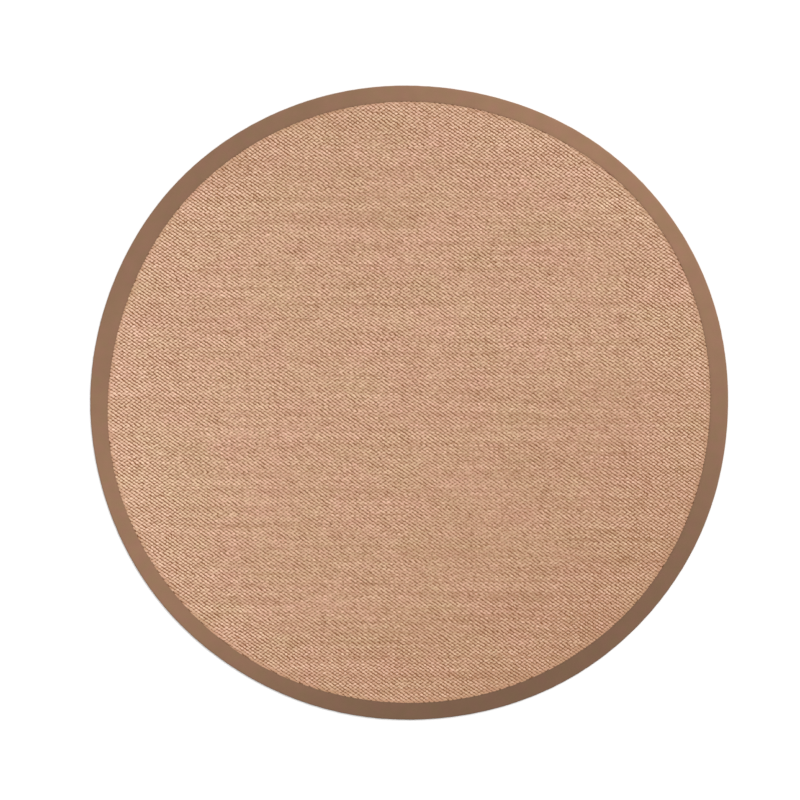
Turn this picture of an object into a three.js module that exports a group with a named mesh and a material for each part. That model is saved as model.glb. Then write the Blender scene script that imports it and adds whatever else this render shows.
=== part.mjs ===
// Round sisal rug: one woven sisal disc with a cotton tape folded round its edge.
// Millimetres, +Z up. The rug lies on Z = 0 with the middle of its box over the origin,
// and the weft rows of the sisal run along X.
import * as THREE from 'three';

// Driving dimensions
const DIAMETER = 2000;
const TAPE_TOP_WIDTH = 55;
const TAPE_UNDER_WIDTH = 45;
const TAPE_THICKNESS = 1;
const SISAL_THICKNESS = 6;
const EDGE_ROUND = 4;
const CLEARANCE = 0.3;

// Facets of the faceted solids
const STEPS_AROUND = 144;
const STEPS_EDGE_ROUND = 6;

// How far the hand-cut edge strays from its circle: rise in millimetres, peak in degrees from +X
const OUTER_EDGE_LOBES = [
  { lobes: 2, rise: 3.0, peak: -5 },
  { lobes: 3, rise: 1.2, peak: 31 },
  { lobes: 4, rise: 2.9, peak: 41 },
  { lobes: 5, rise: 0.6, peak: 40 },
  { lobes: 9, rise: 0.6, peak: 18 },
];

// How far the inner edge of the tape strays from its circle, in the same columns
const TAPE_EDGE_LOBES = [
  { lobes: 1, rise: 1.0, peak: -66 },
  { lobes: 2, rise: 2.7, peak: 35 },
  { lobes: 4, rise: 3.6, peak: 36 },
  { lobes: 5, rise: 1.2, peak: 39 },
  { lobes: 7, rise: 0.7, peak: -17 },
];

// Sizes that follow from the driving dimensions
const OUTER_RADIUS = DIAMETER / 2;
const TAPE_EDGE_RADIUS = OUTER_RADIUS - TAPE_TOP_WIDTH;
const UNDER_EDGE_RADIUS = OUTER_RADIUS - TAPE_UNDER_WIDTH;
const ROUND_START_RADIUS = OUTER_RADIUS - EDGE_ROUND;
const TAPE_TOP = SISAL_THICKNESS + CLEARANCE + TAPE_THICKNESS;
const TAPE_MIDDLE = TAPE_TOP / 2;
const UNDER_TAPE = TAPE_THICKNESS + CLEARANCE;

// Sum of the lobes at one angle: rise * cos(lobes * (angle - peak)) over the rows of the table
function stray(table, angle) {
  return table.reduce(
    (sum, row) => sum + row.rise * Math.cos(row.lobes * (angle - THREE.MathUtils.degToRad(row.peak))),
    0,
  );
}

// Radius after straying: the tape's inner circle follows its own lobes, the outer circle the
// outer lobes, and what lies between or inside is shared out in proportion
function strayedRadius(radius, angle) {
  const inner = stray(TAPE_EDGE_LOBES, angle);
  if (radius <= TAPE_EDGE_RADIUS) {
    return radius + inner * (radius / TAPE_EDGE_RADIUS);
  }
  const outer = stray(OUTER_EDGE_LOBES, angle);
  const share = (radius - TAPE_EDGE_RADIUS) / TAPE_TOP_WIDTH;
  return radius + THREE.MathUtils.lerp(inner, outer, share);
}

// Middle of the box around the strayed outer edge, which goes over the origin
function outlineMiddle() {
  const box = new THREE.Box2();
  for (let step = 0; step < STEPS_AROUND; step += 1) {
    const angle = (step / STEPS_AROUND) * 2 * Math.PI;
    const radius = strayedRadius(OUTER_RADIUS, angle);
    box.expandByPoint(new THREE.Vector2(radius * Math.cos(angle), radius * Math.sin(angle)));
  }
  return box.getCenter(new THREE.Vector2());
}

// Section of the rounded rim from top to bottom, a given depth inside the tape's outer face
function rimSection(depth) {
  const points = [];
  for (let step = 0; step <= STEPS_EDGE_ROUND; step += 1) {
    const turn = Math.PI / 2 - (step / STEPS_EDGE_ROUND) * Math.PI;
    points.push(new THREE.Vector2(
      ROUND_START_RADIUS + (EDGE_ROUND - depth) * Math.cos(turn),
      TAPE_MIDDLE + (TAPE_MIDDLE - depth) * Math.sin(turn),
    ));
  }
  return points;
}

// Turns a section of (radius, height) points once round +Z and lets its radii stray
function roundPiece(section) {
  const geometry = new THREE.LatheGeometry(section, STEPS_AROUND);
  geometry.rotateX(Math.PI / 2);
  const middle = outlineMiddle();
  const position = geometry.attributes.position;
  const pointsPerStep = section.length;
  for (let index = 0; index < position.count; index += 1) {
    const step = Math.floor(index / pointsPerStep) % STEPS_AROUND;
    const angle = (step / STEPS_AROUND) * 2 * Math.PI;
    const radius = strayedRadius(section[index % pointsPerStep].x, angle);
    position.setXY(index, radius * Math.cos(angle) - middle.x, radius * Math.sin(angle) - middle.y);
  }
  geometry.computeVertexNormals();
  return geometry;
}

// The woven disc: flat on top and below, pressed up at its rim where the tape passes under it
function sisalField() {
  const section = [
    new THREE.Vector2(0, 0),
    new THREE.Vector2(UNDER_EDGE_RADIUS - CLEARANCE, 0),
    new THREE.Vector2(UNDER_EDGE_RADIUS - CLEARANCE, UNDER_TAPE),
    ...rimSection(TAPE_THICKNESS + CLEARANCE).reverse(),
    new THREE.Vector2(0, SISAL_THICKNESS),
  ];
  const material = new THREE.MeshStandardMaterial({ color: '#c59c80', roughness: 0.9, metalness: 0 });
  return new THREE.Mesh(roundPiece(section), material);
}

// The tape: one strip that lies on the sisal, turns round the rim and lies under it
function edgeBinding() {
  const section = [
    new THREE.Vector2(UNDER_EDGE_RADIUS, TAPE_THICKNESS),
    new THREE.Vector2(UNDER_EDGE_RADIUS, 0),
    ...rimSection(0).reverse(),
    new THREE.Vector2(TAPE_EDGE_RADIUS, TAPE_TOP),
    new THREE.Vector2(TAPE_EDGE_RADIUS, TAPE_TOP - TAPE_THICKNESS),
    ...rimSection(TAPE_THICKNESS),
    new THREE.Vector2(UNDER_EDGE_RADIUS, TAPE_THICKNESS),
  ];
  const material = new THREE.MeshStandardMaterial({ color: '#93705a', roughness: 0.85, metalness: 0 });
  return new THREE.Mesh(roundPiece(section), material);
}

const rug = new THREE.Group();
const field = sisalField();
field.name = 'sisal_field';
const binding = edgeBinding();
binding.name = 'edge_binding';
rug.add(field, binding);

export default rug;
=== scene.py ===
"""Round sisal rug: a woven sisal disc with a cotton tape folded round its edge.

Metres, +Z up. The rug lies on Z = 0 and the weft rows of the sisal run along X. The sizes that the
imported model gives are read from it, and every new surface is worked out as whole numpy arrays.
"""

import math

import bpy
import numpy as np
from bpy.props import FloatProperty, FloatVectorProperty, IntProperty, PointerProperty
from bpy.types import Operator, Panel, PropertyGroup
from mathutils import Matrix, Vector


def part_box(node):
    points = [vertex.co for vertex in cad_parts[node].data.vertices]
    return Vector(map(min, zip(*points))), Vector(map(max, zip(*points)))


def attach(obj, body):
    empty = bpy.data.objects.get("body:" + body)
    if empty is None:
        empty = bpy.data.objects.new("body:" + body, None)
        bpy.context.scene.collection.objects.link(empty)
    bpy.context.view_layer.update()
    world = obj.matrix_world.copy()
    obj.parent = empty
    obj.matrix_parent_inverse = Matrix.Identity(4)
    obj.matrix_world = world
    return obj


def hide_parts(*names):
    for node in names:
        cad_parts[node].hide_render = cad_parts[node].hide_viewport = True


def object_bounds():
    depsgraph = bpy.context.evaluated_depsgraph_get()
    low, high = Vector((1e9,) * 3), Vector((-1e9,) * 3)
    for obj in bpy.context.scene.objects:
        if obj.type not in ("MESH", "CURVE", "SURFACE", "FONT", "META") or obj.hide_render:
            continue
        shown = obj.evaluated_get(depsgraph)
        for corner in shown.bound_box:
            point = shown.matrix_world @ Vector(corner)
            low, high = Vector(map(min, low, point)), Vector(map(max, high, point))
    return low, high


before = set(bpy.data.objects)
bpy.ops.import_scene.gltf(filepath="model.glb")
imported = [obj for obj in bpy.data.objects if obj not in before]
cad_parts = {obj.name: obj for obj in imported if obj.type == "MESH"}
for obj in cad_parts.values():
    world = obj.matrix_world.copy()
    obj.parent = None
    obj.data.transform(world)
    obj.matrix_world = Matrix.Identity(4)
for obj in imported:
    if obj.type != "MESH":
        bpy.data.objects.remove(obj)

bl_info = {
    "name": "Round Sisal Rug",
    "version": (1, 0, 0),
    "blender": (4, 5, 0),
    "location": "View3D > Sidebar > Rug",
    "description": "Builds a round woven sisal rug with a sewn cotton tape, and a plain studio round it",
    "category": "Add Mesh",
}

MM = 0.001
TURN = 2 * math.pi

# UV maps: the one that the cloth patterns follow, and the one that an export lays its pictures on,
# where each thing keeps this share of its room free on every side
CLOTH_MAP = "cloth"
PICTURE_MAP = "OFBake"
PICTURE_MARGIN = 0.02

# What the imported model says: its box and the heights of its two pieces
CAD_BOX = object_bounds()
SISAL_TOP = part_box("sisal_field")[1].z
TAPE_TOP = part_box("edge_binding")[1].z
RUG_DIAMETER = (CAD_BOX[1] - CAD_BOX[0]).x
# Angle steps of its round faces, and its rounding of the rim
CAD_STEPS = 144
RIM_ROUND = 4 * MM
# Room between the tape and the sisal
CLEARANCE = 0.3 * MM

# The ground cloth near its edge: how far out from the tape's sewn edge it starts and stops rising to
# its pressed height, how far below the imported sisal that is, and the run of the step in its back
GROUND_RISE = (8 * MM, 14 * MM)
GROUND_PRESSED = 0.2 * MM
BACK_STEP = 1.5 * MM

# The floats reach this far in under the tape, and their crests stand at most this far over the
# packed sisal
UNDER_TAPE = 3 * MM
CREST_OVER = 0.25 * MM
# Near the tape the sewing presses the yarn flat, which closes its gaps, and the yarn is drawn darker
# there: how far in from the tape that reaches, and the shares that it adds right beside it
PRESSED_REACH = 16 * MM
PRESSED = {"width": 0.25, "length": 0.2, "height": -0.2, "tone": -0.4}
FLOAT_MESHES = 4

# The tape's top near its inner edge, in millimetres: how far out from the edge, and how high
STITCH_DIP = (
    {"out": 0.0, "top": 5.50},
    {"out": 0.2, "top": 6.20},
    {"out": 0.8, "top": 6.70},
    {"out": 1.8, "top": 6.85},
    {"out": 3.0, "top": 6.75},
    {"out": 4.6, "top": 6.95},
    {"out": 7.5, "top": 7.20},
    {"out": 12.0, "top": 7.28},
    {"out": 20.0, "top": 7.30},
)
# Points of the dip that also bound the tape from below start this far out, and the gathers fade
# away over this distance
DIP_UNDER_FROM = 1.8
GATHER_FADE = 12
# Height of the stitches' middle, in millimetres
STITCH_HEIGHT = 6.78
# Half of a stitch's length as a share of the pitch, and its chance scatter along and out
STITCH_HALF = 0.38
STITCH_SCATTER = {"pitches": 0.04, "out": 0.08 * MM}

# Fewest and most waves round the rug in the small straying of the tape's sewn edge, in that of its
# folded rim, which strays half as far, and in its gathers
EDGE_WAVES = (60, 300)
RIM_WAVES = (30, 200)
RIM_SHARE = 0.5
GATHER_WAVES = (120, 330)
# The tape is level up to this far in from the rim, and its rounding is cut into so many points
LEVEL_TO_RIM = 12 * MM
RIM_POINTS = 11

# Painted light and sheen on the tape: its tone round the rug, brighter towards +Y and in two lobes of
# cloth sheen, as waves: how many, how strong, and the angle in degrees of the first peak
TAPE_PAINTED_LIGHT_AND_SHEEN = (
    {"waves": 1, "rise": 0.174, "peak": 89},
    {"waves": 2, "rise": 0.179, "peak": 31},
    {"waves": 3, "rise": 0.033, "peak": -40},
    {"waves": 4, "rise": 0.013, "peak": 38},
    {"waves": 5, "rise": 0.015, "peak": 3},
)

# Where the sewn inner edge of the tape lies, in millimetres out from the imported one's: a mean, and
# waves in the same columns
SEWN_EDGE_OUT = 1.3
SEWN_EDGE_STRAY = (
    {"waves": 1, "rise": 0.45, "peak": 90},
    {"waves": 2, "rise": 0.48, "peak": 31},
    {"waves": 3, "rise": 0.47, "peak": -52},
    {"waves": 6, "rise": 0.45, "peak": 19},
    {"waves": 8, "rise": 0.45, "peak": 8},
)

# The sisal's mean tone and its painted light and sheen, a slow change of tone over the rug, as powers
# of x and y in rug radii
SISAL_TONE_AND_PAINTED_LIGHT = (
    {"x": 0, "y": 0, "by": 0.45},
    {"x": 1, "y": 0, "by": -0.090},
    {"x": 0, "y": 1, "by": 0.113},
    {"x": 2, "y": 0, "by": 0.043},
    {"x": 1, "y": 1, "by": 0.186},
    {"x": 0, "y": 2, "by": -0.106},
)

# Chance variation of the weave. by is how strong it is, floats and rows are how far along a row and
# across the rows it keeps its value, and a line with neither changes from float to float.
SHIFT_ALONG_MM = (
    {"by": 1.4, "floats": 10, "rows": 18},
    {"by": 0.6, "floats": 12, "rows": 4},
    {"by": 1.4, "floats": 6, "rows": 1.6},
    {"by": 0.38},
)
SHIFT_ACROSS_MM = (
    {"by": 1.3, "floats": 14, "rows": 16},
    {"by": 0.9, "floats": 2, "rows": 36},
    {"by": 0.38},
)
TONE = (
    {"by": 0.14, "floats": 25, "rows": 1},
    {"by": 0.02, "floats": 16, "rows": 11},
    {"by": 0.02, "floats": 4, "rows": 3},
    {"by": 0.075},
)
WARMTH = (
    {"by": 0.28, "floats": 3, "rows": 6},
    {"by": 0.28, "floats": 8, "rows": 18},
    {"by": 0.10},
)
WIDTH = (
    {"by": 0.036, "floats": 25, "rows": 1},
    {"by": 0.06},
)
HEIGHT = (
    {"by": 0.30, "floats": 3, "rows": 5},
    {"by": 0.09},
)
LENGTH = ({"by": 0.08},)
SLANT_DEGREES = (
    {"by": 10, "floats": 3, "rows": 5},
    {"by": 9},
)
# Thin places in the yarn: their spread, the part of the drift that counts, and what they take away
THIN_PLACES = {"floats": 1.5, "rows": 2.5, "over": 0.55, "width": 0.5, "tone": 0.25}

# The tints at the two ends of a natural fibre's warmth
YELLOWER = (0.97, 1.022, 0.96)
PINKER = (1.03, 0.978, 1.04)

# Most values of a noise lie between these
NOISE_LOW = 0.3
NOISE_HIGH = 0.7

# The studio's square floor: half its side, how far it lies below the rug's underside, so that the
# two never share a plane, and its shade
FLOOR_REACH = 60.0
FLOOR_DROP = 0.02 * MM
FLOOR_SHADE = 0.93
# The window light in degrees: how wide it is, how far it leans from straight down, and its turn
# round +Z
WINDOW = {"wide": 35, "lean": 42, "turn": 145}
# The camera sees past the floor's far corners
CAMERA_REACH = 200


def linear(red, green, blue):
    """A screen colour, each part from 0 to 255, as the linear colour that Blender's sockets take.

    This is the sRGB curve: part / 12.92 up to 0.04045, and ((part + 0.055) / 1.055)^2.4 above.
    """
    parts = np.array((red, green, blue)) / 255
    return tuple(np.where(parts <= 0.04045, parts / 12.92, ((parts + 0.055) / 1.055) ** 2.4))


class WeaveSettings(PropertyGroup):
    """Sizes and colours of the woven sisal."""

    warp_pitch: FloatProperty(
        name="Warp pitch",
        description="Distance between warp threads, half the repeat along a weft row",
        default=8.06 * MM,
        unit="LENGTH",
        precision=5,
    )
    row_pitch: FloatProperty(
        name="Row pitch",
        description="Distance between weft rows",
        default=5.55 * MM,
        unit="LENGTH",
        precision=5,
    )
    float_length: FloatProperty(
        name="Float length",
        description="Length of the yarn that shows between two dips",
        default=15.0 * MM,
        unit="LENGTH",
        precision=5,
    )
    float_width: FloatProperty(
        name="Float width",
        description="Width of the weft yarn at its crest",
        default=8.6 * MM,
        unit="LENGTH",
        precision=5,
    )
    slant: FloatProperty(
        name="Slant",
        description="Angle that the yarn's twist gives each float, below the row",
        default=math.radians(16.5),
        unit="ROTATION",
    )
    relief: FloatProperty(
        name="Relief",
        description="Height of the crests above the ground cloth",
        default=1.25 * MM,
        unit="LENGTH",
        precision=5,
    )
    unevenness: FloatProperty(
        name="Unevenness",
        description="How much the yarn and the weave vary, from 0 for not at all to 1 for coarse yarn",
        default=1.0,
        min=0,
        max=2,
    )
    seed: IntProperty(name="Seed", description="Start of the yarn's chance variation", default=7)
    pale: FloatVectorProperty(
        name="Pale yarn",
        description="Colour of the palest sisal",
        subtype="COLOR",
        default=linear(243, 207, 180),
    )
    deep: FloatVectorProperty(
        name="Deep yarn",
        description="Colour of the deepest sisal",
        subtype="COLOR",
        default=linear(183, 141, 111),
    )
    # Painted shade: this darker colour stands for the shade where the yarn dips between the floats
    low: FloatVectorProperty(
        name="Low yarn",
        description="Colour of the yarn where it dips into the cloth",
        subtype="COLOR",
        default=linear(195, 147, 113),
    )
    # Painted shade: the gaps' dark colour stands for the shade between the floats
    ground: FloatVectorProperty(
        name="Ground",
        description="Colour of the cloth in the gaps between the floats",
        subtype="COLOR",
        default=linear(141, 90, 53),
    )


class TapeSettings(PropertyGroup):
    """Sizes and colours of the cotton tape and its sewing."""

    thickness: FloatProperty(
        name="Thickness",
        description="Thickness of the tape",
        default=1.0 * MM,
        unit="LENGTH",
        precision=5,
    )
    wander: FloatProperty(
        name="Wander",
        description="How far the sewn edge strays from its curve",
        default=0.3 * MM,
        unit="LENGTH",
        precision=5,
    )
    pucker: FloatProperty(
        name="Pucker",
        description="Height of the small gathers along the stitches, where a straight tape is eased round",
        default=0.12 * MM,
        unit="LENGTH",
        precision=5,
    )
    stitch_inset: FloatProperty(
        name="Stitch inset",
        description="Distance of the stitch line from the tape's inner edge",
        default=3.0 * MM,
        unit="LENGTH",
        precision=5,
    )
    stitch_pitch: FloatProperty(
        name="Stitch pitch",
        description="Distance from one stitch to the next",
        default=5.0 * MM,
        unit="LENGTH",
        precision=5,
    )
    thread_width: FloatProperty(
        name="Thread width",
        description="Thickness of the sewing thread",
        default=0.7 * MM,
        unit="LENGTH",
        precision=5,
    )
    seed: IntProperty(name="Seed", description="Start of the sewing's chance variation", default=3)
    colour: FloatVectorProperty(
        name="Tape",
        description="Colour of the cotton",
        subtype="COLOR",
        default=linear(135, 102, 79),
    )


class StudioSettings(PropertyGroup):
    """The floor, the light and the camera's place over the rug."""

    rug_in_view: FloatProperty(
        name="Rug in view",
        description="Share of the picture's width that the rug's diameter takes",
        default=638.2 / 800,
        min=0.1,
        max=1,
    )
    right_of_middle: FloatProperty(
        name="Right of middle",
        description="How far right of the picture's middle the rug lies, as a share of its width",
        default=9.2 / 800,
    )
    below_middle: FloatProperty(
        name="Below middle",
        description="How far below the picture's middle the rug lies, as a share of its width",
        default=2.6 / 800,
    )
    lens: FloatProperty(
        name="Lens",
        description="Focal length of the camera",
        default=85,
        subtype="DISTANCE_CAMERA",
    )
    surround: FloatProperty(
        name="Surround",
        description="Strength of the light from all round",
        default=0.75,
        min=0,
    )
    window: FloatProperty(
        name="Window",
        description="Strength of the soft light from the upper side of the picture",
        default=1.9,
        min=0,
    )


def wave_curve(samples, waves=12):
    """A smooth closed curve through values at equal angle steps.

    The values' Fourier series is cut after the given number of waves, so the curve at angle a is
    mean + sum over k of 2 * real(c_k * exp(i * k * a)).
    """
    series = np.fft.rfft(samples) / len(samples)

    def at(angle):
        turns = np.exp(1j * np.multiply.outer(angle, np.arange(1, waves + 1)))
        return series[0].real + 2 * (turns @ series[1 : waves + 1]).real

    return at


def tape_edges():
    """The radius of the tape's outer, inner and under edge from above, as curves over the angle.

    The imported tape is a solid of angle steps. At each step the outer edge is the largest radius of
    its points, and the inner and the under edge are the smallest in its top and its bottom face.
    """
    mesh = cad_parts["edge_binding"].data
    points = np.empty(len(mesh.vertices) * 3)
    mesh.vertices.foreach_get("co", points)
    x, y, z = points.reshape(-1, 3).T
    radius, angle = np.hypot(x, y), np.arctan2(y, x)
    step = np.rint(angle / TURN * CAD_STEPS).astype(int) % CAD_STEPS
    outer = np.zeros(CAD_STEPS)
    np.maximum.at(outer, step, radius)
    curves = [wave_curve(outer)]
    for face in (z > TAPE_TOP - 0.1 * MM, z < 0.1 * MM):
        edge = np.full(CAD_STEPS, np.inf)
        np.minimum.at(edge, step[face], radius[face])
        curves.append(wave_curve(edge))
    return curves


OUTER_EDGE, INNER_EDGE, UNDER_EDGE = tape_edges()


def wave_sum(table, angle):
    """The sum of rise * cos(waves * (angle - peak)) over a table's lines."""
    return sum(
        wave["rise"] * np.cos(wave["waves"] * (angle - math.radians(wave["peak"]))) for wave in table
    )


def sewn_edge(angle):
    """The radius of the tape's inner edge, where it is sewn down."""
    return INNER_EDGE(angle) + MM * (SEWN_EDGE_OUT + wave_sum(SEWN_EDGE_STRAY, angle))


def tape_painted_light_and_sheen(angle):
    """The tape's painted light and sheen round the rug, as a tone about 1."""
    return 1 + wave_sum(TAPE_PAINTED_LIGHT_AND_SHEEN, angle)


def drift(rng, column, row, floats, rows):
    """Slow chance variation over the weave, about -1 to 1.

    Random numbers stand on a grid of cells that many floats by that many rows, and each place takes
    a mix of the four round it, eased by 3t^2 - 2t^3 along both sides.
    """
    s, t = (row - row.min()) / rows, (column - column.min()) / floats
    grid = rng.uniform(-1, 1, (int(s.max()) + 2, int(t.max()) + 2))
    i, j = s.astype(int), t.astype(int)
    s, t = s - i, t - j
    s, t = s * s * (3 - 2 * s), t * t * (3 - 2 * t)
    near = grid[i, j] * (1 - t) + grid[i, j + 1] * t
    far = grid[i + 1, j] * (1 - t) + grid[i + 1, j + 1] * t
    return near * (1 - s) + far * s


def chance(rng, count):
    """Chance variation of separate things: normal numbers, held within two deviations."""
    return rng.normal(size=count).clip(-2, 2)


def varied(rng, column, row, table):
    """The sum of a table's chance variation, a number for each float."""
    total = np.zeros(len(row))
    for line in table:
        if "rows" in line:
            total += line["by"] * drift(rng, column, row, line["floats"], line["rows"])
        else:
            total += line["by"] * chance(rng, len(row))
    return total


def waver(rng, angle, fewest, most):
    """A closed chance curve round the rug, mostly within -1 to 1.

    It is the sum of cosines with every whole number of waves from fewest to most, each turned by
    chance, over the root of how many they are.
    """
    waves = np.arange(fewest, most + 1)
    turned = np.multiply.outer(angle, waves) + rng.uniform(0, TURN, len(waves))
    return np.cos(turned).sum(-1) / math.sqrt(len(waves))


def mesh_object(name, points, faces, maps=None, **values):
    """A smooth-shaded mesh object from arrays.

    points is (n, 3) and faces (m, 3) or (m, 4). maps holds UV maps by name, a place for each corner
    of each face, and every other value is a number for each point, kept as an attribute.
    """
    mesh = bpy.data.meshes.new(name)
    corners = faces.shape[1]
    mesh.vertices.add(len(points))
    mesh.vertices.foreach_set("co", points.astype(np.float32).ravel())
    mesh.loops.add(faces.size)
    mesh.loops.foreach_set("vertex_index", faces.astype(np.int32).ravel())
    mesh.polygons.add(len(faces))
    mesh.polygons.foreach_set("loop_start", np.arange(0, faces.size, corners, dtype=np.int32))
    mesh.polygons.foreach_set("use_smooth", np.ones(len(faces), bool))
    for key, places in (maps or {}).items():
        layer = mesh.uv_layers.new(name=key)
        layer.uv.foreach_set("vector", places.astype(np.float32).ravel())
    for key, numbers in values.items():
        attribute = mesh.attributes.new(key, "FLOAT", "POINT")
        attribute.data.foreach_set("value", numbers.astype(np.float32).ravel())
    mesh.update(calc_edges=True)
    piece = bpy.data.objects.new(name, mesh)
    bpy.context.scene.collection.objects.link(piece)
    return piece


def wound_grid(around, across, closed):
    """Quads of a surface wound once round an axis, whose steps each hold across points.

    closed joins the last point of a step to its first. The second and third arrays give each
    corner's step and its place in the step, counted on past the seams, so that a map can run on.
    """
    step, place = np.meshgrid(np.arange(around), np.arange(across - 1 + closed), indexing="ij")
    steps = np.stack((step, step, step + 1, step + 1), -1).reshape(-1, 4)
    places = np.stack((place, place + 1, place + 1, place), -1).reshape(-1, 4)
    return steps % around * across + places % across, steps, places


def inset(place):
    """A place from 0 to 1 on the picture map, drawn in by the margin at both ends."""
    return PICTURE_MARGIN + (1 - 2 * PICTURE_MARGIN) * place


def joined(name, points, faces, cloth, flat, cell_aspect, **values):
    """Many like things as one mesh.

    points is (things, points, 3), faces one thing's triangles, cloth its corners on the cloth map as
    (things, faces, 3, 2), and flat its corners laid out from 0 to 1 as (faces, 3, 2). The picture
    map gives each thing a cell of a grid over the square, cell_aspect times longer than high.
    """
    count, size = points.shape[:2]
    all_faces = (faces + np.arange(count)[:, None, None] * size).reshape(-1, 3)
    columns = math.ceil(math.sqrt(count / cell_aspect))
    number = np.arange(count)
    cell = np.stack((number % columns, number // columns), -1)[:, None, None]
    picture = (cell + flat) / (columns, math.ceil(count / columns))
    maps = {CLOTH_MAP: cloth, PICTURE_MAP: picture}
    return mesh_object(name, points.reshape(-1, 3), all_faces, maps, **values)


class Nodes:
    """Short calls for making the nodes of one shader tree."""

    def __init__(self, tree):
        self.tree = tree

    def put(self, value, socket):
        """Gives a socket its value: another socket is linked, and a colour or number is set."""
        if isinstance(value, bpy.types.NodeSocket):
            self.tree.links.new(value, socket)
        elif socket.type == "RGBA":
            socket.default_value = (*value, 1)
        else:
            socket.default_value = value

    def add(self, kind, inputs=(), **settings):
        """A node of this kind. inputs maps a socket's name or place to a value or another socket."""
        made = self.tree.nodes.new(kind)
        for key, value in settings.items():
            setattr(made, key, value)
        for key, value in dict(inputs).items():
            self.put(value, made.inputs[key])
        return made

    def math(self, operation, *values, clamp=False):
        """The result of a Math node."""
        made = self.add("ShaderNodeMath", enumerate(values), operation=operation, use_clamp=clamp)
        return made.outputs[0]

    def mix(self, share, first, second, blend="MIX"):
        """Two colours mixed by a share."""
        made = self.add("ShaderNodeMix", data_type="RGBA", blend_type=blend)
        sockets = {socket.name: socket for socket in made.inputs if socket.enabled}
        self.put(share, sockets["Factor"])
        self.put(first, sockets["A"])
        self.put(second, sockets["B"])
        return next(socket for socket in made.outputs if socket.enabled)

    def scaled(self, colour, shade):
        """A colour made darker or paler by a shade, which leaves it as it is at 1."""
        made = self.add("ShaderNodeVectorMath", {0: colour, "Scale": shade}, operation="SCALE")
        return made.outputs[0]

    def range(self, value, low, high, to_low=0.0, to_high=1.0):
        """A value carried from one range to another, and held at its ends."""
        inputs = {"Value": value, "From Min": low, "From Max": high, "To Min": to_low, "To Max": to_high}
        return self.add("ShaderNodeMapRange", inputs).outputs[0]

    def spread(self, noise, to_low=0.0, to_high=1.0):
        """A noise carried from its usual values to a range."""
        return self.range(noise, NOISE_LOW, NOISE_HIGH, to_low, to_high)

    def attribute(self, name):
        """A number that the mesh keeps for each point."""
        return self.add("ShaderNodeAttribute", attribute_name=name).outputs["Fac"]

    def effect(self, name, **inputs):
        """The outputs of one of the shared effects, which is built the first time it is used."""
        group = bpy.data.node_groups.get(name) or EFFECTS[name](name)
        return self.add("ShaderNodeGroup", inputs, node_tree=group).outputs

    def bump(self, shader, height, distance):
        """Feeds a height into the shader's normal, with its real depth in metres."""
        made = self.add("ShaderNodeBump", {"Height": height, "Strength": 1.0, "Distance": distance})
        self.tree.links.new(made.outputs[0], shader.inputs["Normal"])


def effect_group(name, inputs, outputs):
    """A new node group with these sockets, each given as its name and its type.

    Returns the helper that adds its nodes, its input sockets by name and its output node's sockets.
    """
    group = bpy.data.node_groups.new(name, "ShaderNodeTree")
    for way, sockets in (("INPUT", inputs), ("OUTPUT", outputs)):
        for key, kind in sockets.items():
            group.interface.new_socket(key, in_out=way, socket_type=f"NodeSocket{kind}")
    start = group.nodes.new("NodeGroupInput").outputs
    end = group.nodes.new("NodeGroupOutput").inputs
    return Nodes(group), start, end


def fibre_group(name):
    """Fibres that run along the map's first direction.

    Height and Streak are two noises stretched along the fibre: Length is how far a fibre keeps its
    look and Width how thick it is, both in metres.
    """
    nodes, start, end = effect_group(
        name,
        {"Vector": "Vector", "Length": "Float", "Width": "Float"},
        {"Height": "Float", "Streak": "Float"},
    )
    size = nodes.add(
        "ShaderNodeCombineXYZ", {"X": start["Length"], "Y": start["Width"], "Z": start["Width"]}
    )
    place = nodes.add(
        "ShaderNodeVectorMath", {0: start["Vector"], 1: size.outputs[0]}, operation="DIVIDE"
    )
    fine = nodes.add("ShaderNodeTexNoise", {"Vector": place.outputs[0], "Scale": 1.0, "Detail": 2.0})
    broad = nodes.add("ShaderNodeTexNoise", {"Vector": place.outputs[0], "Scale": 0.35, "Detail": 1.0})
    nodes.put(fine.outputs[0], end["Height"])
    nodes.put(broad.outputs[0], end["Streak"])
    return nodes.tree


def close_weave_group(name):
    """A fine plain weave from w = sin(pi u / Pitch) * sin(pi v / Pitch).

    Height is the size of w, and Thread is w from 0 to 1, so that warp and weft take turns.
    """
    nodes, start, end = effect_group(
        name,
        {"Vector": "Vector", "Pitch": "Float"},
        {"Height": "Float", "Thread": "Float"},
    )
    axes = nodes.add("ShaderNodeSeparateXYZ", {0: start["Vector"]})
    waves = []
    for axis in ("X", "Y"):
        turns = nodes.math("DIVIDE", axes.outputs[axis], start["Pitch"])
        waves.append(nodes.math("SINE", nodes.math("MULTIPLY", turns, math.pi)))
    over = nodes.math("MULTIPLY", waves[0], waves[1])
    nodes.put(nodes.math("ABSOLUTE", over), end["Height"])
    nodes.put(nodes.math("MULTIPLY_ADD", over, 0.5, 0.5), end["Thread"])
    return nodes.tree


def natural_tint_group(name):
    """A colour times a tint that runs from a yellower to a pinker one as Warmth goes from 0 to 1."""
    nodes, start, end = effect_group(
        name,
        {"Colour": "Color", "Warmth": "Float"},
        {"Colour": "Color"},
    )
    tint = nodes.mix(start["Warmth"], YELLOWER, PINKER)
    nodes.put(nodes.mix(1.0, start["Colour"], tint, blend="MULTIPLY"), end["Colour"])
    return nodes.tree


EFFECTS = {
    "Fibres": fibre_group,
    "Close weave": close_weave_group,
    "Natural tint": natural_tint_group,
}


def material_with(name):
    """A new material: its node helper and its Principled shader."""
    material = bpy.data.materials.new(name)
    material.use_nodes = True
    return material, Nodes(material.node_tree), material.node_tree.nodes["Principled BSDF"]


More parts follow.
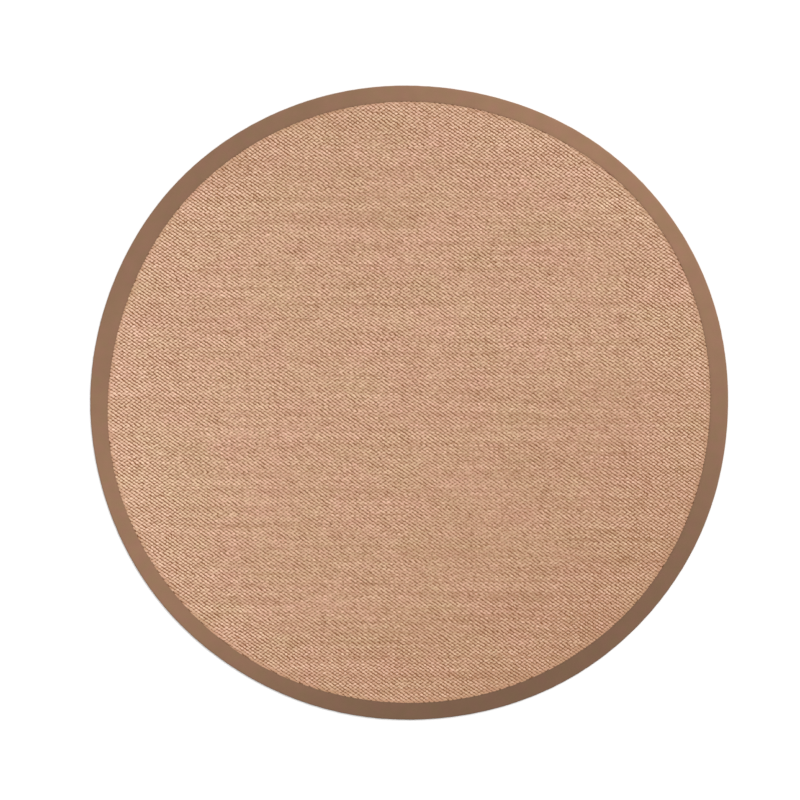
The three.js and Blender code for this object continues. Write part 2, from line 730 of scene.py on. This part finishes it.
def sisal_yarn_material(weave):
    """Twisted sisal: colour from the float's tone and painted light, its depth as painted shade, and
    fibres.
    """
    material, nodes, shader = material_with("sisal_yarn")
    cloth = nodes.add("ShaderNodeUVMap", uv_map=CLOTH_MAP).outputs[0]
    twist = nodes.add("ShaderNodeMapping", {"Vector": cloth, "Rotation": (0, 0, math.radians(12))})
    fibres = nodes.effect("Fibres", Vector=twist.outputs[0], Length=14 * MM, Width=0.5 * MM)
    fibre_tone = nodes.spread(fibres["Streak"], -0.28, 0.28)
    share = nodes.math("ADD", nodes.attribute("tone"), fibre_tone, clamp=True)
    yarn = nodes.mix(share, weave.deep, weave.pale)
    # Painted shade: towards the dips, the yarn runs to the low colour
    colour = nodes.mix(nodes.range(nodes.attribute("depth"), 0.0, 0.7), weave.low, yarn)
    tinted = nodes.effect("Natural tint", Colour=colour, Warmth=nodes.attribute("warmth"))
    nodes.put(tinted["Colour"], shader.inputs["Base Color"])
    nodes.put(nodes.spread(fibres["Height"], 0.95, 0.75), shader.inputs["Roughness"])
    shader.inputs["Specular IOR Level"].default_value = 0.25
    nodes.bump(shader, fibres["Height"], 0.35 * MM)
    return material


def sisal_ground_material(weave):
    """The cloth under the floats: weft dips in painted shade, crossed by warp threads along Y."""
    material, nodes, shader = material_with("sisal_ground")
    place = nodes.add("ShaderNodeTexCoord").outputs["Object"]
    axes = nodes.add("ShaderNodeSeparateXYZ", {0: place})
    turns = nodes.math("DIVIDE", axes.outputs["X"], weave.warp_pitch)
    # Warp threads lie where |sin(pi x / pitch)| is low, and show through by this share
    ridge = nodes.math("ABSOLUTE", nodes.math("SINE", nodes.math("MULTIPLY", turns, math.pi)))
    warp = nodes.range(ridge, 0.55, 0.25)
    warp_shows = 0.45
    # The darkest fibres keep this share of the cloth's colour
    darkest = 0.62
    fibres = nodes.effect("Fibres", Vector=place, Length=20 * MM, Width=0.8 * MM)
    # The gaps' painted shade, mottled by the fibres
    deep = [darkest * part for part in weave.ground]
    mottled = nodes.mix(nodes.spread(fibres["Streak"]), deep, weave.ground)
    colour = nodes.mix(nodes.math("MULTIPLY", warp, warp_shows), mottled, weave.deep)
    nodes.put(colour, shader.inputs["Base Color"])
    nodes.put(nodes.spread(fibres["Height"], 0.98, 0.85), shader.inputs["Roughness"])
    shader.inputs["Specular IOR Level"].default_value = 0.2
    nodes.bump(shader, nodes.math("MULTIPLY_ADD", warp, 0.8, fibres["Height"]), 0.4 * MM)
    return material


def tape_material(tape):
    """Close-woven cotton: tape colour times painted light and sheen round the rug, mottled, fine-woven."""
    material, nodes, shader = material_with("cotton_tape")
    cloth = nodes.add("ShaderNodeUVMap", uv_map=CLOTH_MAP).outputs[0]
    weave = nodes.effect("Close weave", Vector=cloth, Pitch=0.9 * MM)
    place = nodes.add("ShaderNodeTexCoord").outputs["Object"]
    cloud = nodes.add("ShaderNodeTexNoise", {"Vector": place, "Scale": 14.0, "Detail": 3.0}).outputs[0]
    hue = nodes.add("ShaderNodeTexNoise", {"Vector": place, "Scale": 30.0, "Detail": 2.0}).outputs[0]
    cloudy = nodes.spread(cloud, 0.965, 1.035)
    threads = nodes.range(weave["Thread"], 0.0, 1.0, 0.93, 1.07)
    # The tone attribute is the painted light and sheen round the rug
    shade = nodes.math("MULTIPLY", nodes.attribute("tone"), nodes.math("MULTIPLY", cloudy, threads))
    colour = nodes.scaled(tape.colour, shade)
    tinted = nodes.effect("Natural tint", Colour=colour, Warmth=nodes.spread(hue))
    nodes.put(tinted["Colour"], shader.inputs["Base Color"])
    nodes.put(nodes.range(weave["Height"], 0.0, 1.0, 0.92, 0.8), shader.inputs["Roughness"])
    shader.inputs["Specular IOR Level"].default_value = 0.25
    nodes.bump(shader, weave["Height"], 0.12 * MM)
    return material


def thread_material(tape):
    """Sewing thread in the tape's colour with its painted light and sheen, and its own twisted fibres."""
    material, nodes, shader = material_with("sewing_thread")
    cloth = nodes.add("ShaderNodeUVMap", uv_map=CLOTH_MAP).outputs[0]
    twist = nodes.add("ShaderNodeMapping", {"Vector": cloth, "Rotation": (0, 0, math.radians(35))})
    fibres = nodes.effect("Fibres", Vector=twist.outputs[0], Length=2 * MM, Width=0.25 * MM)
    fibre_shade = nodes.spread(fibres["Streak"], 0.87, 1.12)
    # The tone attribute is the tape's painted light and sheen round the rug
    shade = nodes.math("MULTIPLY", nodes.attribute("tone"), fibre_shade)
    nodes.put(nodes.scaled(tape.colour, shade), shader.inputs["Base Color"])
    nodes.put(nodes.spread(fibres["Height"], 0.8, 0.6), shader.inputs["Roughness"])
    nodes.bump(shader, fibres["Height"], 0.08 * MM)
    return material


def finished(piece, material, node):
    """Gives a piece its material, has it ride on the rug's body, and hides its imported node."""
    piece.data.materials.append(material)
    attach(piece, "root")
    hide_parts(node)


def rim_section(rim, depth, bottom, steps):
    """The rounded rim from top to bottom as half an ellipse, a given depth inside the tape's skin.

    Its points are (radius, height): rim - RIM_ROUND + (RIM_ROUND - depth) * cos(t) and
    middle + half * sin(t), where middle and half follow from the tape's top and the given bottom.
    """
    top = TAPE_TOP - depth
    middle, half = (top + bottom) / 2, (top - bottom) / 2
    turns = np.radians(np.linspace(90, -90, steps))
    return [
        (rim - RIM_ROUND + (RIM_ROUND - depth) * math.cos(turn), middle + half * math.sin(turn))
        for turn in turns
    ]


def wound_points(section, angle):
    """Points of a section carried round the rug, (angles, points, 3).

    Each item of the section is (radius, height), and both may change with the angle.
    """
    radii, heights = (
        np.stack([np.broadcast_to(item[part], len(angle)) for item in section], -1) for part in (0, 1)
    )
    cos, sin = np.cos(angle)[:, None], np.sin(angle)[:, None]
    return np.stack((radii * cos, radii * sin, heights), -1)


class RUG_OT_ground_cloth(Operator):
    """Adds the sisal cloth that the floats stand on, as one closed sheet"""

    bl_idname = "sisal_rug.ground_cloth"
    bl_label = "Ground cloth"

    def execute(self, context):
        weave = context.scene.sisal_rug_weave
        tape = context.scene.sisal_rug_tape
        around, rings, rim_points = 360, 24, 7
        angle = np.arange(around) * TURN / around
        outer, edge, under = OUTER_EDGE(angle), sewn_edge(angle), UNDER_EDGE(angle)
        ground_top = SISAL_TOP - weave.relief
        # Under the tape the weave is pressed flat, and its rim is lifted by the tape that turns under it
        pressed_top = SISAL_TOP - GROUND_PRESSED
        lifted = tape.thickness + CLEARANCE
        rise_start, rise_stop = GROUND_RISE
        # The section runs from the middle out to the tape, under it, round the rim and back below
        section = [(edge * share, ground_top) for share in np.linspace(0, 1, rings)[1:]]
        section += [(edge + rise_start, ground_top), (edge + rise_stop, pressed_top)]
        section += rim_section(outer, TAPE_TOP - pressed_top, lifted, rim_points)
        section += [(under, lifted), (under - BACK_STEP, 0.0), (under * 0.5, 0.0)]
        points = wound_points(section, angle).reshape(-1, 3)
        poles = [(0, 0, ground_top), (0, 0, 0)]
        quads, _, _ = wound_grid(around, len(section), closed=False)
        top_pole, bottom_pole = len(points), len(points) + 1
        first = np.arange(around) * len(section)
        last = first + len(section) - 1
        triangles = np.concatenate(
            (
                quads[:, [0, 1, 2]],
                quads[:, [0, 2, 3]],
                np.stack((np.full(around, top_pole), first, np.roll(first, -1)), -1),
                np.stack((np.full(around, bottom_pole), np.roll(last, -1), last), -1),
            )
        )
        piece = mesh_object("ground_cloth", np.concatenate((points, poles)), triangles)
        finished(piece, sisal_ground_material(weave), "sisal_field")
        return {"FINISHED"}


def float_shape():
    """One float as a closed form: its points, its triangles and their corners laid out flat.

    The points are (along, across, up): along and across run from -1 to 1, and up from 0 at the
    ground to 1 at the crest. Two pointed tips dip into the cloth, and three arched sections stand
    between them. Laid out, the arch takes most of a square and the underside the strip above it.
    """
    end, wide, crest = 0.58, 0.72, 0.66
    sections = [
        [(-1.0, 0.0, -0.1)],
        [(-end, -wide, 0.0), (-end, 0.0, wide), (-end, wide, 0.0)],
        [(0.0, -1.0, 0.0), (0.0, -crest, wide), (0.0, 0.0, 1.0), (0.0, crest, wide), (0.0, 1.0, 0.0)],
        [(end, -wide, 0.0), (end, 0.0, wide), (end, wide, 0.0)],
        [(1.0, 0.0, -0.1)],
    ]
    arch = [
        (0, 1, 2), (0, 2, 3),
        (1, 4, 5), (1, 5, 2), (2, 5, 6), (2, 6, 7), (2, 7, 3), (3, 7, 8),
        (4, 9, 5), (5, 9, 10), (5, 10, 6), (6, 10, 7), (7, 10, 11), (7, 11, 8),
        (9, 12, 10), (10, 12, 11),
    ]
    underside = [(0, 3, 1), (1, 3, 8), (1, 8, 4), (4, 8, 11), (4, 11, 9), (9, 11, 12)]
    places = np.array([place for section in sections for place in section])
    triangles = np.array(arch + underside)
    flat = places[triangles][..., :2]
    # Half the size and the middle of each part, laid out
    arch_half, arch_middle = (0.47, 0.37), (0.5, 0.39)
    underside_half, underside_middle = (0.47, 0.08), (0.5, 0.89)
    flat[: len(arch)] = flat[: len(arch)] * arch_half + arch_middle
    flat[len(arch) :] = flat[len(arch) :] * underside_half + underside_middle
    return places, triangles, flat


class RUG_OT_weft_floats(Operator):
    """Adds the weft floats, a small rounded length of yarn for each one, as joined meshes"""

    bl_idname = "sisal_rug.weft_floats"
    bl_label = "Weft floats"

    def execute(self, context):
        weave = context.scene.sisal_rug_weave
        rng = np.random.default_rng(weave.seed)
        loose = weave.unevenness
        repeat = 2 * weave.warp_pitch
        # Every second warp is crossed by a float, and the next row's floats lie between them
        reach = RUG_DIAMETER / 2
        rows = int(reach / weave.row_pitch)
        columns = int(reach / repeat)
        grid = np.meshgrid(np.arange(-rows, rows + 1), np.arange(-columns, columns + 1), indexing="ij")
        row, column = (numbers.ravel() for numbers in grid)
        column = column + 0.5 * (row % 2)
        x, y = column * repeat, row * weave.row_pitch
        to_edge = sewn_edge(np.arctan2(y, x)) - np.hypot(x, y)
        kept = to_edge > -UNDER_TAPE
        x, y, row, column, to_edge = x[kept], y[kept], row[kept], column[kept], to_edge[kept]
        count = len(x)

        def uneven(table):
            return loose * varied(rng, column, row, table)

        # The mean tone and the slow painted light over the rug are the sum of by * (x / reach)^power *
        # (y / reach)^power over the table's lines
        mean_tone_and_painted_light = sum(
            term["by"] * (x / reach) ** term["x"] * (y / reach) ** term["y"] for term in SISAL_TONE_AND_PAINTED_LIGHT
        )
        place_x = x + MM * uneven(SHIFT_ALONG_MM)
        place_y = y + MM * uneven(SHIFT_ACROSS_MM)
        thin = drift(rng, column, row, THIN_PLACES["floats"], THIN_PLACES["rows"])
        thin = loose * np.maximum(thin - THIN_PLACES["over"], 0)
        # A float's tone holds the painted light over the rug as well as its own chance tone
        tone = mean_tone_and_painted_light + uneven(TONE) - THIN_PLACES["tone"] * thin
        warmth = 0.5 + uneven(WARMTH)
        half_width = weave.float_width / 2 * (1 + uneven(WIDTH) - THIN_PLACES["width"] * thin)
        half_length = weave.float_length / 2 * (1 + uneven(LENGTH))
        slant = np.radians(uneven(SLANT_DEGREES)) - weave.slant
        near = np.clip(1 - to_edge / PRESSED_REACH, 0, 1)
        half_width *= 1 + PRESSED["width"] * near
        half_length *= 1 + PRESSED["length"] * near
        # Beside the tape the yarn is drawn darker
        tone += PRESSED["tone"] * near
        height = weave.relief * (1 + uneven(HEIGHT)) * (1 + PRESSED["height"] * near)
        # A float's points are the shape's, stretched to its half sizes, turned by its slant and set
        # at its place, with their heights over the ground cut off at the highest that is allowed
        places, triangles, flat = float_shape()
        along = half_length[:, None] * places[:, 0]
        across = half_width[:, None] * places[:, 1]
        up = height[:, None] * places[:, 2]
        cos, sin = np.cos(slant)[:, None], np.sin(slant)[:, None]
        points = np.stack(
            (
                place_x[:, None] + along * cos - across * sin,
                place_y[:, None] + along * sin + across * cos,
                np.minimum(SISAL_TOP - weave.relief + up, SISAL_TOP + CREST_OVER),
            ),
            -1,
        )
        size = (weave.float_length / 2, weave.float_width / 2)
        cloth = places[triangles][..., :2] * size + rng.uniform(0, 1, (count, 1, 1, 2))
        # Height in the float, which the yarn's material turns into painted shade towards the dips
        depth = np.broadcast_to(places[:, 2].clip(0, 1), (count, len(places)))
        material = sisal_yarn_material(weave)
        bands = np.array_split(np.argsort(y, kind="stable"), FLOAT_MESHES)
        for number, band in enumerate(bands, 1):
            piece = joined(
                f"weft_floats_{number}",
                points[band],
                triangles,
                cloth[band],
                flat,
                cell_aspect=2,
                tone=np.repeat(tone[band], len(places)),
                warmth=np.repeat(warmth[band], len(places)),
                depth=depth[band],
            )
            finished(piece, material, "sisal_field")
        return {"FINISHED"}


class RUG_OT_edge_tape(Operator):
    """Adds the cotton tape: over the sisal, round its rim and under it, as one closed sheet"""

    bl_idname = "sisal_rug.edge_tape"
    bl_label = "Edge tape"

    def execute(self, context):
        tape = context.scene.sisal_rug_tape
        rng = np.random.default_rng(tape.seed)
        around, strips = 1440, 8
        angle = np.arange(around) * TURN / around
        edge = sewn_edge(angle) + tape.wander * waver(rng, angle, *EDGE_WAVES)
        rim = OUTER_EDGE(angle) + RIM_SHARE * tape.wander * waver(rng, angle, *RIM_WAVES)
        under = UNDER_EDGE(angle)
        gather = tape.pucker * waver(rng, angle, *GATHER_WAVES)
        middle, before_rim, below = (edge + rim) / 2, rim - LEVEL_TO_RIM, (under + rim) / 2
        # Gathers fade away from the sewn edge as exp(-(out / GATHER_FADE)^2)
        dip = [
            (edge + at["out"] * MM, at["top"] * MM + gather * math.exp(-((at["out"] / GATHER_FADE) ** 2)))
            for at in STITCH_DIP
        ]
        dip_below = [
            (radius, height - tape.thickness)
            for at, (radius, height) in zip(STITCH_DIP, dip)
            if at["out"] >= DIP_UNDER_FROM
        ]
        # The section runs out over the top, round the rim, in under the rug, and back inside the tape
        section = dip + [(middle, TAPE_TOP), (before_rim, TAPE_TOP)]
        section += rim_section(rim, 0.0, 0.0, RIM_POINTS) + [(below, 0.0), (under, 0.0)]
        section += [(under, tape.thickness), (below, tape.thickness)]
        section += rim_section(rim, tape.thickness, tape.thickness, RIM_POINTS)[::-1]
        section += [(before_rim, TAPE_TOP - tape.thickness), (middle, TAPE_TOP - tape.thickness)]
        section += dip_below[::-1]
        points = wound_points(section, angle)
        faces, steps, places = wound_grid(around, len(section), closed=True)
        # The cloth map runs round the rug and round the tape's section, in metres
        loop = np.concatenate((points[0], points[0, :1]))
        girth = np.concatenate(([0], np.cumsum(np.linalg.norm(np.diff(loop, axis=0), axis=1))))
        cloth = np.stack((steps * (TURN / around) * rim.mean(), girth[places]), -1)
        # For pictures the tape is cut into strips that lie one over another
        per_strip = around // strips
        strip = steps[:, :1] // per_strip
        picture = np.stack(
            (
                steps / per_strip - strip,
                (strip + inset(girth[places] / girth[-1])) / strips,
            ),
            -1,
        )
        # Each point keeps the tape's painted light and sheen round the rug as its tone
        piece = mesh_object(
            "edge_tape",
            points.reshape(-1, 3),
            faces,
            {CLOTH_MAP: cloth, PICTURE_MAP: picture},
            tone=np.repeat(tape_painted_light_and_sheen(angle), len(section)),
        )
        finished(piece, tape_material(tape), "edge_binding")
        return {"FINISHED"}


def stitch_shape():
    """One stitch as a closed bow of thread: its points, its triangles and their corners laid out flat.

    The points are (along, out, up). Along runs from -1 to 1, and out and up count in half thread
    widths. At each of three stations stands a ring of six points, (share * cos(t), rise + share *
    sin(t)), and the two tips dip into the tape. Laid out, along goes one way and t the other.
    """
    sides = 6
    stations = (
        {"along": -0.62, "rise": 0.30, "share": 0.9},
        {"along": 0.0, "rise": 0.55, "share": 1.0},
        {"along": 0.62, "rise": 0.30, "share": 0.9},
    )
    turn = np.arange(sides) * TURN / sides
    rings = np.stack(
        [
            np.stack(
                (
                    np.full(sides, at["along"]),
                    at["share"] * np.cos(turn),
                    at["rise"] + at["share"] * np.sin(turn),
                ),
                -1,
            )
            for at in stations
        ],
        1,
    )
    tips = np.array([(-1.0, 0.0, -0.9), (1.0, 0.0, -0.9)])
    quads, steps, _ = wound_grid(sides, len(stations), closed=False)
    first_tip, last_tip = rings[..., 0].size, rings[..., 0].size + 1
    step = np.arange(sides)
    first, last = step * len(stations), (step + 1) * len(stations) - 1
    triangles = np.concatenate(
        (
            quads[:, [0, 1, 2]],
            quads[:, [0, 2, 3]],
            np.stack((np.full(sides, first_tip), first, np.roll(first, -1)), -1),
            np.stack((np.full(sides, last_tip), np.roll(last, -1), last), -1),
        )
    )
    points = np.concatenate((rings.reshape(-1, 3), tips))
    turns = np.concatenate(
        (
            steps[:, [0, 1, 2]],
            steps[:, [0, 2, 3]],
            np.stack((step + 0.5, step, step + 1), -1),
            np.stack((step + 0.5, step + 1, step), -1),
        )
    )
    along = 0.5 + (0.5 - PICTURE_MARGIN) * points[triangles][..., 0]
    flat = np.stack((along, inset(turns / sides)), -1)
    return points, triangles, flat


class RUG_OT_stitches(Operator):
    """Adds the stitches along the tape's inner edge, each a short bow of thread, as one joined mesh"""

    bl_idname = "sisal_rug.stitches"
    bl_label = "Stitches"

    def execute(self, context):
        tape = context.scene.sisal_rug_tape
        rng = np.random.default_rng(tape.seed)
        # Equal steps along the stitch line, found from its length up to each eighth of a degree
        fine = np.linspace(0, TURN, 8 * 360 + 1)
        line = sewn_edge(fine) + tape.stitch_inset
        reached = np.concatenate(
            ([0], np.cumsum(np.hypot(np.diff(line * np.cos(fine)), np.diff(line * np.sin(fine)))))
        )
        count = round(reached[-1] / tape.stitch_pitch)
        starts = np.arange(count) + STITCH_SCATTER["pitches"] * chance(rng, count)
        angle = np.interp(starts / count * reached[-1], reached, fine)
        radius = sewn_edge(angle) + tape.stitch_inset + STITCH_SCATTER["out"] * chance(rng, count)
        half_width, half_length = tape.thread_width / 2, STITCH_HALF * tape.stitch_pitch
        # A stitch's points are the shape's, stretched to its half sizes and bent round the rug: out
        # adds to the radius, and along turns by along / radius
        places, triangles, flat = stitch_shape()
        out = radius[:, None] + half_width * places[:, 1]
        turn = angle[:, None] + half_length * places[:, 0] / radius[:, None]
        height = np.broadcast_to(STITCH_HEIGHT * MM + half_width * places[:, 2], out.shape)
        points = np.stack((out * np.cos(turn), out * np.sin(turn), height), -1)
        size = (2 * half_length, TURN * half_width)
        cloth = flat * size + rng.uniform(0, 1, (count, 1, 1, 2))
        # Each stitch takes the tape's painted light and sheen round the rug as its tone
        tone = np.repeat(tape_painted_light_and_sheen(angle), len(places))
        piece = joined("tape_stitches", points, triangles, cloth, flat, cell_aspect=1, tone=tone)
        finished(piece, thread_material(tape), "edge_binding")
        return {"FINISHED"}


class RUG_OT_studio(Operator):
    """Adds the plain floor, the soft light and the camera straight over the rug"""

    bl_idname = "sisal_rug.studio"
    bl_label = "Studio"

    def execute(self, context):
        studio = context.scene.sisal_rug_studio
        scene = context.scene
        scene.view_settings.view_transform = "Standard"
        signs = ((-1, -1), (1, -1), (1, 1), (-1, 1))
        corners = np.array([(FLOOR_REACH * x, FLOOR_REACH * y, -FLOOR_DROP) for x, y in signs])
        floor = mesh_object("studio_floor", corners, np.array([(0, 1, 2, 3)]))
        material, _, shader = material_with("studio_floor")
        shader.inputs["Base Color"].default_value = (FLOOR_SHADE, FLOOR_SHADE, FLOOR_SHADE, 1)
        shader.inputs["Roughness"].default_value = 0.9
        shader.inputs["Specular IOR Level"].default_value = 0.1
        floor.data.materials.append(material)

        # The surround lights the rug at its own strength, and is plain white to the camera
        world = bpy.data.worlds.new("studio")
        world.use_nodes = True
        scene.world = world
        nodes = Nodes(world.node_tree)
        background = world.node_tree.nodes["Background"]
        seen = nodes.add("ShaderNodeLightPath").outputs["Is Camera Ray"]
        nodes.put(nodes.range(seen, 0.0, 1.0, studio.surround, 1.0), background.inputs["Strength"])
        background.inputs["Color"].default_value = (1, 1, 1, 1)

        lamp = bpy.data.lights.new("window", "SUN")
        lamp.energy = studio.window
        lamp.angle = math.radians(WINDOW["wide"])
        window = bpy.data.objects.new("window", lamp)
        scene.collection.objects.link(window)
        window.rotation_euler = (math.radians(WINDOW["lean"]), 0, math.radians(WINDOW["turn"]))

        camera = bpy.data.objects.new("camera", bpy.data.cameras.new("camera"))
        scene.collection.objects.link(camera)
        scene.camera = camera
        camera.data.lens = studio.lens
        camera.data.clip_end = CAMERA_REACH
        wide = RUG_DIAMETER / studio.rug_in_view
        camera.location = (
            -studio.right_of_middle * wide,
            studio.below_middle * wide,
            TAPE_TOP + wide * studio.lens / camera.data.sensor_width,
        )
        return {"FINISHED"}


class RUG_PT_panel(Panel):
    """Lists the pieces of the rug, with the sizes and colours that they are made from"""

    bl_idname = "RUG_PT_panel"
    bl_label = "Round sisal rug"
    bl_space_type = "VIEW_3D"
    bl_region_type = "UI"
    bl_category = "Rug"

    def draw(self, context):
        for kind in PIECES:
            self.layout.operator(kind.bl_idname)
        for name, group in SETTINGS.items():
            box = self.layout.box()
            for key in group.__annotations__:
                box.prop(getattr(context.scene, name), key)


SETTINGS = {
    "sisal_rug_weave": WeaveSettings,
    "sisal_rug_tape": TapeSettings,
    "sisal_rug_studio": StudioSettings,
}
PIECES = (RUG_OT_studio, RUG_OT_ground_cloth, RUG_OT_weft_floats, RUG_OT_edge_tape, RUG_OT_stitches)


def register():
    """Makes the settings, the operators and the panel known to Blender."""
    for kind in (*SETTINGS.values(), *PIECES, RUG_PT_panel):
        bpy.utils.register_class(kind)
    for name, group in SETTINGS.items():
        setattr(bpy.types.Scene, name, PointerProperty(type=group))


def unregister():
    """Takes away what register has made."""
    for name in SETTINGS:
        delattr(bpy.types.Scene, name)
    for kind in (RUG_PT_panel, *reversed(PIECES), *reversed(SETTINGS.values())):
        bpy.utils.unregister_class(kind)


def main():
    register()
    bpy.ops.sisal_rug.studio()
    bpy.ops.sisal_rug.ground_cloth()
    bpy.ops.sisal_rug.weft_floats()
    bpy.ops.sisal_rug.edge_tape()
    bpy.ops.sisal_rug.stitches()


if __name__ == "__main__":
    main()
